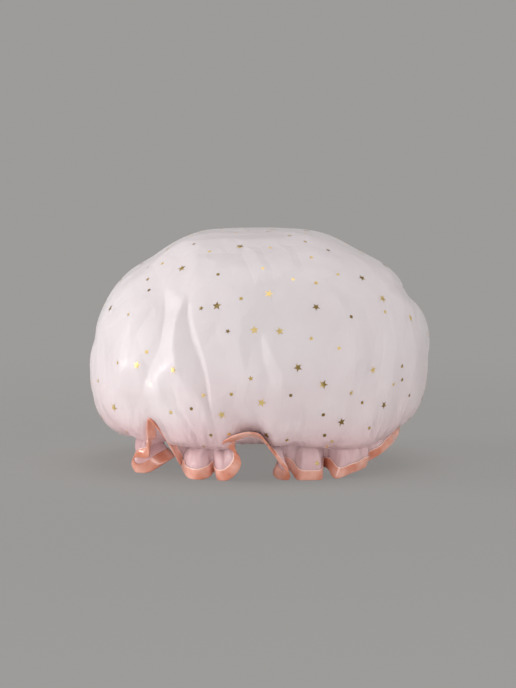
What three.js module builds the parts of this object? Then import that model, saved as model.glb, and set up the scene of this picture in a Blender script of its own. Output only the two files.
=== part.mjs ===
// Double-layer shower cap, standing on its ruffled hem as it does on a shelf.
// A sheer outer sheet lies over a waterproof lining. Both are cut round, gathered on an elastic
// band near the edge, and bound together along the hem with a folded satin ribbon.
// Millimetres, +Z up. The origin is on the surface that the cap stands on, below its middle.
// The front of the cap faces -Y, and +X is to the right of someone who looks at the front.
import * as THREE from "three";

// Crown, as it stands when filled
const SIDE_RADIUS = 139; // from the middle to the sides
const FRONT_RADIUS = 136;
const BACK_RADIUS = 137.2;
const CROWN_HEIGHT = 192;
const DOME_OVER_TOP = 5; // the dome would rise this far over its flattened top
const FULLEST_HEIGHT = 83; // of the widest line, on the front and the back
const FULLEST_RISE = 14; // the widest line is this much higher on the right and lower on the left
const UPPER_ROUNDNESS_SHARE = 0.94; // 1 makes the upper section an ellipse, and less is squarer
const ROUNDNESS_RISE_SHARE = 0.04; // the right side is this much rounder, and the left squarer

// Underside of the crown, between its widest line and the elastic. The cloth falls, hangs below
// the elastic as a lip and turns in to it.
const UNDERSIDE_BEND_SHARE = 0.84; // how far down its drop the front and the back stay upright
const UNDERSIDE_REACH = 36; // they arrive at the elastic from this far outside it
const UNDERSIDE_SAG = 24; // and from this much lower
const SIDE_BEND_SHARE = 0.42;
const SIDE_REACH = 31;
const SIDE_SAG = 22;
// Where a fold of the ruffle stands up, the crown comes down to the elastic from above.
const DRAWN_BEND_SHARE = 0.45;
const DRAWN_REACH = 13;
const DRAWN_LIFT = 9;
const [DRAWN_FROM, DRAWN_BY] = [-14, 2]; // the rises of the hem over the ruffle's start for that

// Elastic and the band of cloth that is sewn to it
const ELASTIC_RADIUS = 95;
const ELASTIC_HEIGHT = 32; // of the middle of the band, on the front and the back
const ELASTIC_RISE = 3;
const ELASTIC_WIDTH = 6;
const ELASTIC_THICKNESS = 0.9;
const CASING_WIDTH = 7;
const MOUTH_SHIFT = 4; // the mouth lies to the right of the crown's middle

// Gathers
const PLEAT_DEPTH = 4; // of the crown's pleats where they are deepest
const CASING_PLEAT_DEPTH = 2.2;
const PLEAT_START_SHARE = 0.6; // of the way from the crown's top to the casing
const PLEAT_DEEPEST_SHARE = 0.88;

// A fold of the ruffle that stands up presses the crown in behind it.
const PRESS_ROOM = 5; // between the middles of both cloths
const PRESS_MARGIN = 7; // round the fold before the crown starts to come out again
const PRESS_SLOPE_SHARE = 0.95; // and then by this much of each step away

// Ruffle and its binding
const RUFFLE_WIDTH = 38;
const BINDING_WIDTH = 8.5;
const BINDING_THICKNESS = 0.5;
const FLARE_OUT = 3; // the ruffle bends this far outside its hem
const LOW_FLARE_OUT = 10; // and this much further out where it hangs low
const [LOW_FLARE_START, LOW_FLARE_FULL] = [4, 22]; // the drops from which and by which it does
const RAISED_FLARE_IN = 17; // and this much less where it stands up
const RAISED_FULL = 10; // the rise by which a fold counts as standing up
const RAISED_LIFT_SHARE = 0.55;
const SHORT_DROP = 10; // with less drop than this the ruffle leaves the casing upwards
const SHORT_DROP_LIFT_SHARE = 0.6;
const RUFFLE_MIDDLE_SHARE = 0.5; // of the way down to the binding

// Cloth
const OUTER_THICKNESS = 0.5;
const LINING_THICKNESS = 0.5;
const CLEARANCE = 0.3; // between pieces that lie on each other

// The hem's folds on the front half, from the left side by the front to the right. Each row is a
// crest that stands out, a trough that is drawn in, or the flank between them: its degrees from
// the front, and its reach out from the elastic and lift off the ground as shares of the ruffle's
// width. A flank that folds back on itself has fewer degrees than the row before it.
const FRONT_HEM_SHARES = [
  [-86, 0.18, 0.05],
  [-76, 0.24, 0.03],
  [-66, 0.13, 0.05],
  [-58, -0.03, 0.13],
  [-52, -0.03, 0.16],
  [-48.5, 0.08, 0.13],
  [-50, 0.21, 0.09],
  [-54.5, 0.42, 0],
  [-57.8, 0.62, 0],
  [-60, 0.71, 0.15],
  [-57.6, 0.73, 0.33],
  [-49.2, 0.71, 0.42],
  [-47.6, 0.78, 0.68],
  [-47, 0.83, 1.01],
  [-45.6, 0.86, 1.24],
  [-42.2, 0.8, 1.05],
  [-40.2, 0.68, 0.84],
  [-39.6, 0.53, 0.61],
  [-40.5, 0.29, 0.34],
  [-42, 0.08, 0.17],
  [-36.3, 0.32, 0.12],
  [-32, 0.47, 0.04],
  [-27, 0.55, 0.01],
  [-22.7, 0.45, 0.08],
  [-21.8, 0.26, 0.18],
  [-18.3, 0.47, 0.03],
  [-13.6, 0.55, 0.07],
  [-10.3, 0.47, 0.32],
  [-10.5, 0.42, 0.5],
  [-13, 0.38, 0.68],
  [-15.5, 0.47, 0.82],
  [-14.5, 0.66, 0.92],
  [-10.1, 0.76, 1.06],
  [-5.5, 0.79, 1.12],
  [-2.1, 0.76, 1.05],
  [0.4, 0.68, 0.84],
  [3.2, 0.53, 0.58],
  [7.4, 0.47, 0.34],
  [10.8, 0.43, 0.11],
  [8.8, 0.29, 0],
  [5, 0.13, 0.11],
  [6.8, 0, 0.26],
  [12, 0.16, 0.21],
  [14.8, 0.39, 0.02],
  [19, 0.47, 0],
  [23.8, 0.49, 0.01],
  [27, 0.24, 0.16],
  [31.5, -0.05, 0.2],
  [30.4, 0.24, 0.18],
  [30.6, 0.49, 0.03],
  [37.6, 0.55, 0.12],
  [46.5, 0.49, 0.19],
  [52, 0.24, 0.22],
  [56.5, 0.42, 0.37],
  [63.5, 0.5, 0.52],
  [74.4, 0.46, 0.62],
  [82, 0.47, 0.76],
  [90, 0.34, 0.63],
];
// The folds on the back half, from the right by the back to the left. Each row is the degrees and
// half width in degrees, reach and lift of a crest, and then the degrees, reach and lift of the
// trough after it.
const BACK_HEM_SHARES = [
  [100, 4, 0.34, 0.63, 110, 0.08, 0.58],
  [119, 4, 0.37, 0.45, 126, 0.05, 0.26],
  [135, 4.5, 0.45, 0.01, 143, 0.03, 0.18],
  [151, 4.5, 0.5, 0, 159, 0.03, 0.24],
  [167, 4, 0.58, 0.53, 175, 0.03, 0.11],
  [184, 5, 0.45, 0, 192, 0.05, 0.24],
  [201, 4, 0.58, 0.58, 210, 0.03, 0.16],
  [219, 4.5, 0.47, 0.03, 227, 0.08, 0.16],
  [236, 4.5, 0.47, 0.34, 245, 0.03, 0.08],
  [256, 5, 0.26, 0.08, 267, 0.08, 0.21],
];
const HEM_SHARES = [
  ...FRONT_HEM_SHARES,
  ...BACK_HEM_SHARES.flatMap(([crest, half, reach, lift, trough, lowReach, lowLift]) => [
    [crest - half, reach, lift],
    [crest + half, reach, lift],
    [trough, lowReach, lowLift],
  ]),
];
const ROOT_SPAN = 5; // the cloth hangs from the mean of this many rows to each side
const CROWN_SPAN = 28; // higher up it is spread more evenly, over this many

// Creases and hollows of the slack crown, seen from the front. Each has a line of places across
// from the middle and up from the ground, its height, and its reach to both sides, all as shares
// of the crown's height.
const FOLD_SHARES = [
  { line: [[-0.4, 0.8], [-0.35, 0.6], [-0.33, 0.42], [-0.31, 0.25]], height: 0.034, reach: 0.05 },
  { line: [[-0.42, 0.78], [-0.42, 0.5], [-0.48, 0.35], [-0.5, 0.24]], height: -0.031, reach: 0.07 },
  { line: [[-0.44, 0.76], [-0.54, 0.6], [-0.57, 0.42], [-0.58, 0.24]], height: 0.022, reach: 0.08 },
  { line: [[-0.32, 0.7], [-0.27, 0.5], [-0.23, 0.33], [-0.21, 0.15]], height: -0.022, reach: 0.05 },
  { line: [[-0.46, 0.4], [-0.45, 0.26], [-0.37, 0.15]], height: 0.024, reach: 0.05 },
  { line: [[0.01, 0.56], [0.1, 0.38], [0.2, 0.23]], height: 0.011, reach: 0.07 },
  { line: [[0.3, 0.75], [0.39, 0.5], [0.37, 0.19]], height: 0.017, reach: 0.08 },
  { line: [[0.44, 0.81], [0.54, 0.58], [0.52, 0.32]], height: 0.013, reach: 0.08 },
  { line: [[0.55, 0.79], [0.65, 0.74], [0.71, 0.71]], height: -0.021, reach: 0.05 },
];

// Steps of the mesh
const STEPS = HEM_SHARES.length;
// Rings of the crown from the top down: share of the way from the top to the casing, and how many
// of the steps round it has.
const FULLEST_WAY_SHARE = 0.6;
const CROWN_RINGS = [
  { wayShare: 0.12, steps: STEPS / 8 },
  { wayShare: 0.27, steps: STEPS / 4 },
  { wayShare: 0.43, steps: STEPS / 2 },
  { wayShare: FULLEST_WAY_SHARE, steps: STEPS / 2 },
  { wayShare: 0.76, steps: STEPS / 2 },
  { wayShare: 0.86, steps: STEPS / 2 },
  { wayShare: 0.92, steps: STEPS / 2 },
  { wayShare: 1, steps: STEPS / 2 },
];

const FULL_TURN = 2 * Math.PI;
const mix = THREE.MathUtils.lerp;
const smooth = THREE.MathUtils.smoothstep;
const radians = THREE.MathUtils.degToRad;
const sum = (values) => values.reduce((total, value) => total + value, 0);

// Angle 0 is the front, and angles grow to the right.
const heightOfElastic = (angle) => ELASTIC_HEIGHT + ELASTIC_RISE * Math.sin(angle);
const startHeight = (angle) => heightOfElastic(angle) - CASING_WIDTH / 2;

function fromPolar(angle, radius, height, shift) {
  return new THREE.Vector3(shift + radius * Math.sin(angle), -radius * Math.cos(angle), height);
}

// The hem's row at any whole number, with its angle counted on from lap to lap.
function hemRow(index) {
  const lap = Math.floor(index / STEPS);
  const [degrees, reach, lift] = HEM_SHARES[index - lap * STEPS];
  return { angle: radians(degrees) + lap * FULL_TURN, reach, lift };
}

function hemPoint(index) {
  const { angle, reach, lift } = hemRow(index);
  const radius = ELASTIC_RADIUS + reach * RUFFLE_WIDTH;
  return fromPolar(angle, radius, lift * RUFFLE_WIDTH, MOUTH_SHIFT);
}

// Mean angle of the rows round a whole number.
function meanAngle(index, span) {
  const angles = [];
  for (let step = -span; step <= span; step++) angles.push(hemRow(index + step).angle);
  return sum(angles) / angles.length;
}

const reaches = HEM_SHARES.map(([, reach]) => reach);
const [leastReach, mostReach] = [Math.min(...reaches), Math.max(...reaches)];

// The cloth over each place of the hem: its angle at the elastic and high on the crown, its
// pleat's wave, 1 on a crest and -1 in a trough, and how far the hem is over the ruffle's start.
const gathers = HEM_SHARES.map((_, index) => {
  const angle = meanAngle(index, ROOT_SPAN);
  const { reach, lift } = hemRow(index);
  return {
    angle,
    crownAngle: meanAngle(index, CROWN_SPAN),
    wave: mix(-1, 1, (reach - leastReach) / (mostReach - leastReach)),
    rise: lift * RUFFLE_WIDTH - startHeight(angle),
  };
});
const drawnUp = gathers.map(({ rise }) => smooth(rise, DRAWN_FROM, DRAWN_BY));
const drawnAt = (index) => Math.max(...[-1, 0, 1].map((step) => drawnUp.at((index + step) % STEPS)));

// How far the folds lift a place of the crown, across from the middle and up from the ground.
function foldLift(across, up) {
  const place = new THREE.Vector3(across, up, 0);
  const nearest = new THREE.Vector3();
  const lifts = FOLD_SHARES.map(({ line, height, reach }) => {
    const corners = line.map(([x, y]) => new THREE.Vector3(x, y, 0).multiplyScalar(CROWN_HEIGHT));
    const distances = corners.slice(1).map((corner, index) => {
      new THREE.Line3(corners[index], corner).closestPointToPoint(place, true, nearest);
      return nearest.distanceTo(place);
    });
    const distance = Math.min(...distances) / (reach * CROWN_HEIGHT);
    return height * CROWN_HEIGHT * Math.exp(-distance * distance);
  });
  return sum(lifts);
}

// A point of the crown before a raised fold presses it, way 0 at the top and 1 at the casing.
function freeCrownPoint(index, way) {
  const { angle: rootAngle, crownAngle, wave } = gathers[index];
  const angle = mix(crownAngle, rootAngle, smooth(way, PLEAT_START_SHARE, 1));
  const shift = MOUTH_SHIFT * smooth(way, FULLEST_WAY_SHARE, 1);
  const side = Math.sin(angle) ** 2;
  const crownRadius = mix(Math.cos(angle) > 0 ? FRONT_RADIUS : BACK_RADIUS, SIDE_RADIUS, side);
  const fullest = FULLEST_HEIGHT + FULLEST_RISE * Math.sin(angle);
  const opened = PLEAT_DEPTH * wave * smooth(way, PLEAT_START_SHARE, PLEAT_DEEPEST_SHARE);
  const pleat = mix(opened, CASING_PLEAT_DEPTH * wave, smooth(way, PLEAT_DEEPEST_SHARE, 1));
  if (way < FULLEST_WAY_SHARE) {
    const slope = (way / FULLEST_WAY_SHARE) * (Math.PI / 2);
    const roundness = UPPER_ROUNDNESS_SHARE + ROUNDNESS_RISE_SHARE * Math.sin(angle);
    const dome = mix(fullest, CROWN_HEIGHT + DOME_OVER_TOP, Math.cos(slope) ** roundness);
    const radius = crownRadius * Math.sin(slope) ** roundness;
    return fromPolar(angle, radius, Math.min(dome, CROWN_HEIGHT), shift);
  }
  const drawn = drawnAt(index);
  const casingTop = heightOfElastic(angle) + CASING_WIDTH / 2;
  const hangingBend = mix(UNDERSIDE_BEND_SHARE, SIDE_BEND_SHARE, side);
  const bendShare = mix(hangingBend, DRAWN_BEND_SHARE, drawn);
  const reach = mix(mix(UNDERSIDE_REACH, SIDE_REACH, side), DRAWN_REACH, drawn);
  const sag = mix(mix(UNDERSIDE_SAG, SIDE_SAG, side), -DRAWN_LIFT, drawn);
  const underside = new THREE.CubicBezierCurve(
    new THREE.Vector2(crownRadius, fullest),
    new THREE.Vector2(crownRadius, mix(fullest, casingTop, bendShare)),
    new THREE.Vector2(ELASTIC_RADIUS + reach, casingTop - sag),
    new THREE.Vector2(ELASTIC_RADIUS, casingTop),
  );
  const { x, y } = underside.getPoint((way - FULLEST_WAY_SHARE) / (1 - FULLEST_WAY_SHARE));
  return fromPolar(angle, x + pleat, y, shift);
}

// A point of the casing's lower edge, where the ruffle starts.
function casingPoint(index) {
  const { angle, wave } = gathers[index];
  const radius = ELASTIC_RADIUS + wave * CASING_PLEAT_DEPTH;
  return fromPolar(angle, radius, startHeight(angle), MOUTH_SHIFT);
}

// A line down the ruffle. It leaves the casing outwards and bends to its place on the hem.
function ruffleLine(index) {
  const { angle, rise } = gathers[index];
  const raised = smooth(rise, 0, RAISED_FULL);
  const low = smooth(-rise, LOW_FLARE_START, LOW_FLARE_FULL);
  const reach = hemRow(index).reach * RUFFLE_WIDTH;
  const flare = reach + FLARE_OUT + LOW_FLARE_OUT * low - RAISED_FLARE_IN * raised;
  const shortLift = SHORT_DROP_LIFT_SHARE * Math.max(SHORT_DROP + rise, 0);
  const lift = mix(shortLift, RAISED_LIFT_SHARE * rise, raised);
  const start = casingPoint(index);
  const bend = start.clone().add(fromPolar(angle, flare, lift, 0));
  return new THREE.QuadraticBezierCurve3(start, bend, hemPoint(index));
}

// The place on that line that is a share of the way down to the binding's upper edge.
function aboveBinding(index, share) {
  const line = ruffleLine(index);
  return line.getPointAt(share * (1 - BINDING_WIDTH / line.getLength()));
}
const ruffleMiddle = (index) => aboveBinding(index, RUFFLE_MIDDLE_SHARE);
const bindingTop = (index) => aboveBinding(index, 1);

// Angle and radius of a point round the mouth.
function roundMouth({ x, y }) {
  return { angle: Math.atan2(x - MOUTH_SHIFT, -y), radius: Math.hypot(x - MOUTH_SHIFT, y) };
}

// Places of the ruffle that stand over the middle of the casing.
const raisedPlaces = HEM_SHARES.flatMap((_, index) => {
  const places = [ruffleMiddle(index), bindingTop(index), hemPoint(index)];
  return places
    .filter(({ z }) => z > heightOfElastic(gathers[index].angle))
    .map((place) => ({ ...roundMouth(place), height: place.z }));
});

// The crown's point, with its folds and with the dents that raised folds of the ruffle press in.
function crownPoint(index, way) {
  const point = freeCrownPoint(index, way);
  if (way === 1) return point;
  const facing = Math.max(-point.y / FRONT_RADIUS, Math.abs(point.x) / SIDE_RADIUS, 0);
  const fold = foldLift(point.x, point.z) * smooth(facing, 0, 0.3);
  const { angle, radius } = roundMouth(point);
  const limits = raisedPlaces.map((place) => {
    const turned = Math.atan2(Math.sin(place.angle - angle), Math.cos(place.angle - angle));
    const distance = Math.hypot(turned * ELASTIC_RADIUS, place.height - point.z);
    const away = Math.max(distance - PRESS_MARGIN, 0);
    return place.radius - PRESS_ROOM + PRESS_SLOPE_SHARE * away;
  });
  const pressed = Math.min(radius + fold, ...limits);
  return fromPolar(angle, pressed, point.z, MOUTH_SHIFT);
}

// The surface where the two sheets meet, as rings of points from the top to the cut edge.
const rings = [
  { steps: 1, at: () => new THREE.Vector3(0, 0, CROWN_HEIGHT) },
  ...CROWN_RINGS.map(({ wayShare, steps }) => ({
    steps,
    at: (index) => crownPoint(index, wayShare),
  })),
  { steps: STEPS / 2, at: casingPoint },
  { steps: STEPS, at: ruffleMiddle },
  { steps: STEPS, at: bindingTop },
  { steps: STEPS, at: hemPoint },
];

function surfaceOf(ringList) {
  const points = [];
  const triangles = [];
  const starts = [];
  let upper = null;
  for (const ring of ringList) {
    starts.push(points.length);
    for (let step = 0; step < ring.steps; step++) points.push(ring.at((step * STEPS) / ring.steps));
    if (upper) triangles.push(...bandBetween(starts.at(-2), upper.steps, starts.at(-1), ring.steps));
    upper = ring;
  }
  return { points, triangles, starts };
}

// Triangles between a row and the one under it, which has as many points or twice as many, or
// any number under a single one.
function bandBetween(upperStart, upperSteps, lowerStart, lowerSteps) {
  const upper = (step) => upperStart + (step % upperSteps);
  const lower = (step) => lowerStart + (step % lowerSteps);
  const triangles = [];
  if (upperSteps === 1) {
    for (let step = 0; step < lowerSteps; step++)
      triangles.push([upperStart, lower(step), lower(step + 1)]);
    return triangles;
  }
  const ratio = lowerSteps / upperSteps;
  for (let step = 0; step < upperSteps; step++) {
    const first = step * ratio;
    for (let part = 0; part < ratio; part++)
      triangles.push([upper(step), lower(first + part), lower(first + part + 1)]);
    triangles.push([upper(step), lower(first + ratio), upper(step + 1)]);
  }
  return triangles;
}

// For each point, the step off the surface: the mean normal of the faces around it. It is shorter
// than 1 in a fold, where the layers of cloth are pressed together.
function offsetSteps({ points, triangles }) {
  const sums = points.map(() => new THREE.Vector3());
  const weights = points.map(() => 0);
  for (const corners of triangles) {
    const [a, b, c] = corners.map((index) => points[index]);
    const normal = new THREE.Triangle(a, b, c).getNormal(new THREE.Vector3());
    corners.forEach((index, corner) => {
      const here = points[index];
      const one = points[corners[(corner + 1) % 3]].clone().sub(here);
      const other = points[corners[(corner + 2) % 3]].clone().sub(here);
      const weight = one.angleTo(other);
      sums[index].addScaledVector(normal, weight);
      weights[index] += weight;
    });
  }
  return sums.map((total, index) => total.divideScalar(weights[index]));
}

const meeting = surfaceOf(rings);
const offsets = offsetSteps(meeting);

// A point of the meeting surface moved out by distance, and kept over the height lowest.
function layerPoint(index, distance, lowest) {
  const point = meeting.points[index].clone().addScaledVector(offsets[index], distance);
  point.z = Math.max(point.z, lowest);
  return point;
}

function geometryOf(points, triangles) {
  const geometry = new THREE.BufferGeometry();
  geometry.setFromPoints(points);
  geometry.setIndex(triangles.flat());
  geometry.computeVertexNormals();
  return geometry;
}

// A sheet between two distances out from the meeting surface, closed along the cut edge.
function sheetGeometry(inner, outer) {
  const count = meeting.points.length;
  const lowest = BINDING_THICKNESS + CLEARANCE;
  const points = [
    ...meeting.points.map((_, index) => layerPoint(index, outer, lowest)),
    ...meeting.points.map((_, index) => layerPoint(index, inner, lowest)),
  ];
  const triangles = [
    ...meeting.triangles,
    ...meeting.triangles.map(([a, b, c]) => [a + count, c + count, b + count]),
  ];
  const edge = meeting.starts.at(-1);
  for (let step = 0; step < STEPS; step++) {
    const here = edge + step;
    const next = edge + ((step + 1) % STEPS);
    triangles.push([here, here + count, next + count], [here, next + count, next]);
  }
  return geometryOf(points, triangles);
}

// A closed loop of equal sections, each a list of points that runs the same way round. Each
// four-sided face is split from its first corner, or across that after the corners in turned.
function loopGeometry(sections, turned = []) {
  const corners = sections[0].length;
  const at = (step, corner) => (step % sections.length) * corners + (corner % corners);
  const triangles = [];
  for (let step = 0; step < sections.length; step++)
    for (let corner = 0; corner < corners; corner++) {
      const [here, past] = [at(step, corner), at(step, corner + 1)];
      const [next, nextPast] = [at(step + 1, corner), at(step + 1, corner + 1)];
      if (turned.includes(corner)) triangles.push([here, next, past], [past, next, nextPast]);
      else triangles.push([here, nextPast, past], [here, next, nextPast]);
    }
  return geometryOf(sections.flat(), triangles);
}

// The ribbon is folded over the cut edge of both sheets, with one leg on each side.
function bindingGeometry() {
  const outerFace = CLEARANCE + OUTER_THICKNESS + CLEARANCE;
  const innerFace = -(LINING_THICKNESS + CLEARANCE);
  const topRow = meeting.starts.at(-2);
  const edgeRow = meeting.starts.at(-1);
  const sections = [];
  for (let step = 0; step < STEPS; step++) {
    const top = topRow + step;
    const edge = edgeRow + step;
    const along = meeting.points[edge].clone().sub(meeting.points[top]).normalize();
    const corner = (index, distance, past, lowest) => {
      const point = layerPoint(index, distance, lowest).addScaledVector(along, past);
      point.z = Math.max(point.z, lowest);
      return point;
    };
    const outside = outerFace + BINDING_THICKNESS;
    const inside = innerFace - BINDING_THICKNESS;
    const foldInside = CLEARANCE;
    const foldOutside = CLEARANCE + BINDING_THICKNESS;
    sections.push([
      corner(top, outside, 0, 0),
      corner(top, outerFace, 0, 0),
      corner(edge, outerFace, foldInside, BINDING_THICKNESS),
      corner(edge, innerFace, foldInside, BINDING_THICKNESS),
      corner(top, innerFace, 0, 0),
      corner(top, inside, 0, 0),
      corner(edge, inside, foldOutside, 0),
      corner(edge, outside, foldOutside, 0),
    ]);
  }
  const upwardFaces = [3, 7];
  return loopGeometry(sections, upwardFaces);
}

// The elastic is a flat band inside the lining, against the pleats' inner edges.
function elasticGeometry() {
  const outerRadius = ELASTIC_RADIUS - CASING_PLEAT_DEPTH - LINING_THICKNESS - CLEARANCE;
  const innerRadius = outerRadius - ELASTIC_THICKNESS;
  const sections = [];
  for (let index = 0; index < STEPS; index += 2) {
    const { angle } = gathers[index];
    const bottom = heightOfElastic(angle) - ELASTIC_WIDTH / 2;
    const top = bottom + ELASTIC_WIDTH;
    sections.push([
      fromPolar(angle, outerRadius, bottom, MOUTH_SHIFT),
      fromPolar(angle, outerRadius, top, MOUTH_SHIFT),
      fromPolar(angle, innerRadius, top, MOUTH_SHIFT),
      fromPolar(angle, innerRadius, bottom, MOUTH_SHIFT),
    ]);
  }
  return loopGeometry(sections);
}

function cloth(name, geometry, settings) {
  const mesh = new THREE.Mesh(geometry, new THREE.MeshStandardMaterial(settings));
  mesh.name = name;
  return mesh;
}

const cap = new THREE.Group();
cap.add(
  cloth("outer_sheet", sheetGeometry(CLEARANCE, CLEARANCE + OUTER_THICKNESS), {
    color: "#efe4e8",
    roughness: 0.4,
    metalness: 0,
  }),
  cloth("waterproof_lining", sheetGeometry(-LINING_THICKNESS, 0), {
    color: "#eccfd5",
    roughness: 0.5,
    metalness: 0,
  }),
  cloth("hem_binding", bindingGeometry(), { color: "#ef9c86", roughness: 0.45, metalness: 0 }),
  cloth("elastic_band", elasticGeometry(), { color: "#f4f1ee", roughness: 0.8, metalness: 0 }),
);

export default cap;
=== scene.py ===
"""A double-layer shower cap, filled out and standing on its ruffled hem.

The two sheets, the ribbon over their edge and the elastic are made again here at full detail,
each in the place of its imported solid. Sizes are in millimetres until a mesh is made.
"""

import math

import bpy
import numpy as np
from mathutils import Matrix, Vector
from mathutils.bvhtree import BVHTree
from mathutils.kdtree import KDTree


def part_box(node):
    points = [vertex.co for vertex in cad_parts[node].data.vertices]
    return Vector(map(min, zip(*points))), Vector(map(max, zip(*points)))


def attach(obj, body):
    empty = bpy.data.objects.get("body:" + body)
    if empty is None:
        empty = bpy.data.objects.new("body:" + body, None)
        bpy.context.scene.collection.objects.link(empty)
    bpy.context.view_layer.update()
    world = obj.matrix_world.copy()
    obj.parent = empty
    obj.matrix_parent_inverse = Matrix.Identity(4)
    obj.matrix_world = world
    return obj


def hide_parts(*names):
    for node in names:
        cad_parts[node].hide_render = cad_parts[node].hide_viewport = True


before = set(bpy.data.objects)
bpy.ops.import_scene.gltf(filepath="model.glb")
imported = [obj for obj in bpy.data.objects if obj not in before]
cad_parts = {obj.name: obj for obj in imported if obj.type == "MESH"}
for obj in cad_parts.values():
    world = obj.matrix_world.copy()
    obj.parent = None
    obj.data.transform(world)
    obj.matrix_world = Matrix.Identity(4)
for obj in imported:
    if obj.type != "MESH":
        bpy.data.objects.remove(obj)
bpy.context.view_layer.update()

MM = 0.001
TURN = 2 * math.pi


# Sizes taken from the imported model

def box_mm(node):
    low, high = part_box(node)
    return np.array(low) / MM, np.array(high) / MM


sheet_low, sheet_high = box_mm("outer_sheet")
elastic_low, elastic_high = box_mm("elastic_band")

SHEET_SKIN = 0.8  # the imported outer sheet's outside lies this far off the line between the sheets
SIDE_RADIUS = (sheet_high[0] - sheet_low[0]) / 2 - SHEET_SKIN
BACK_RADIUS = sheet_high[1] - SHEET_SKIN
BACK_FULLER = 1.2
FRONT_RADIUS = BACK_RADIUS - BACK_FULLER
CROWN_HEIGHT = sheet_high[2] - SHEET_SKIN
MOUTH_SHIFT = (elastic_low[0] + elastic_high[0]) / 2
ELASTIC_WIDTH = 6.0
ELASTIC_THICKNESS = 0.9
ELASTIC_HEIGHT = (elastic_low[2] + elastic_high[2]) / 2
ELASTIC_RISE = (elastic_high[2] - elastic_low[2] - ELASTIC_WIDTH) / 2
ELASTIC_SEAT = 3.1  # from the elastic's outside to the middle of the gathers round it
ELASTIC_RADIUS = (elastic_high[1] - elastic_low[1]) / 2 + ELASTIC_SEAT

FULLEST_HEIGHT = 83.0
FULLEST_RISE = 14.0  # the fullest height is this much more on the right and less on the left
ROUNDNESS = 0.94
ROUNDNESS_RISE = 0.04
DOME_OVER_TOP = 5.0  # the dome would rise this far over the flat top
TOP_EDGE = 1.3  # how softly the dome turns into the flat top
# The underside, at the front and the back, at the sides, and where a fold of the ruffle stands up:
# how far down it bends in, as a share, how far it bulges out, and how far it sags
UNDERSIDE = (0.84, 26.0, 24.0)
SIDE_UNDERSIDE = (0.42, 31.0, 22.0)
DRAWN_UNDERSIDE = (0.62, 20.0, -5.0)
# At the right of the front the crown hangs lower over its ruffle
RIGHT_SAG = 16.0
RIGHT_SAG_PLACE = math.radians(44)
RIGHT_SAG_REACH = math.radians(26)
CASING_WIDTH = 7.0
RIBBON_WIDTH = 8.5
RIBBON_THICKNESS = 0.35
FLARE_OUT = 3.0  # the ruffle bends this far outside its hem
LOW_FLARE_OUT = 4.0  # and this much further out where it hangs low
RAISED_FLARE_IN = 17.0  # and this much less where it stands up
RAISED_LIFT_SHARE = 0.55
LOW_LIFT_SHARE = 0.6
LOW_LIFT_START = 10.0  # a fold that hangs further than this below the casing has no lift

# The hem's folds on the front half, from the left by the front to the right: degrees from the
# front, reach out from the elastic, and height off the ground.
FRONT_HEM = (
    (-86, 7, 2), (-76, 9, 1), (-66, 5, 2), (-58, -1, 8), (-52, -2, 13), (-47.5, 4, 13.5),
    (-49.5, 12, 8.5), (-53.5, 19, 2.2), (-57.8, 24.5, 0), (-60, 27, 5.7), (-57.6, 27.7, 12.5),
    (-49.2, 27, 16), (-47.6, 29.5, 26), (-47, 31.4, 38.5), (-45.6, 32.5, 47), (-42.2, 30.5, 40),
    (-40.2, 26, 32), (-39.6, 20, 23),
    (-40.5, 11, 13), (-42, 3, 6.5), (-36.3, 12, 4.5), (-32, 18, 1.5), (-27, 21, 0.5),
    (-22.7, 17, 3.2), (-21.8, 10, 7), (-18.3, 18, 1), (-13.6, 21, 2.5), (-9.7, 22, 10.5),
    (-8.9, 24, 18), (-12, 25, 26.6), (-14.8, 30, 30.6), (-11.5, 35.5, 36.6), (-8.5, 36.5, 39.4),
    (-5.1, 35.5, 41), (-1.7, 33, 39.4), (0.6, 29, 33.6), (3.1, 23.5, 25), (5.6, 20, 17.5),
    (8.6, 17.5, 10), (10.8, 16.5, 3), (8.8, 11, 0), (5, 5, 4), (6.8, 0, 10), (12, 6, 8), (14.8, 15, 0.8),
    (19, 18, 0), (23.8, 18.5, 0.5), (27, 9, 6), (31.5, -2, 7.5), (30.4, 9, 7), (30.6, 18.5, 1),
    (37.6, 21, 4.5), (46.5, 18.5, 7.4), (52, 9, 8.2), (56.5, 16, 14), (63.5, 19, 19.7),
    (74.4, 17.5, 23.4), (82, 18, 29), (90, 13, 24),
)
# The folds on the back half, from the right by the back to the left: degrees, half width in
# degrees, reach and height of the crest, then degrees, reach and height of the trough after it.
BACK_HEM = (
    (100, 4, 14, 24, 110, 3, 22),
    (119, 4, 15, 17, 126, 2, 10),
    (135, 4.5, 18, 0.5, 143, 1, 7),
    (151, 4.5, 20, 0, 159, 1, 9),
    (167, 4, 23, 20, 175, 1, 4),
    (184, 5, 18, 0, 192, 2, 9),
    (201, 4, 23, 22, 210, 1, 6),
    (219, 4.5, 19, 1, 227, 3, 6),
    (236, 4.5, 19, 13, 245, 1, 3),
    (256, 5, 11, 3, 267, 3, 8),
)

# The photograph's view
IMAGE_WIDTH = 516
PIXEL = 0.826  # millimetres to a pixel at the cap's middle
CAMERA_DISTANCE = 2.6
CAMERA_ELEVATION = math.radians(5.8)
CAMERA_AIM = Vector((0.0, 0.0, 0.098))
AIM = np.array(CAMERA_AIM) / MM
LEVEL, STEEP = math.cos(CAMERA_ELEVATION), math.sin(CAMERA_ELEVATION)


def smooth(value, low, high):
    part = np.clip((value - low) / (high - low), 0, 1)
    return part * part * (3 - 2 * part)


def mix(one, other, share):
    return one + (other - one) * share


def polar(angle, radius, height, shift=0.0):
    """Points at angles from the front, growing to the right."""
    x = shift + radius * np.sin(angle)
    y = -radius * np.cos(angle)
    return np.stack(np.broadcast_arrays(x, y, height), axis=-1)


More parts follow.
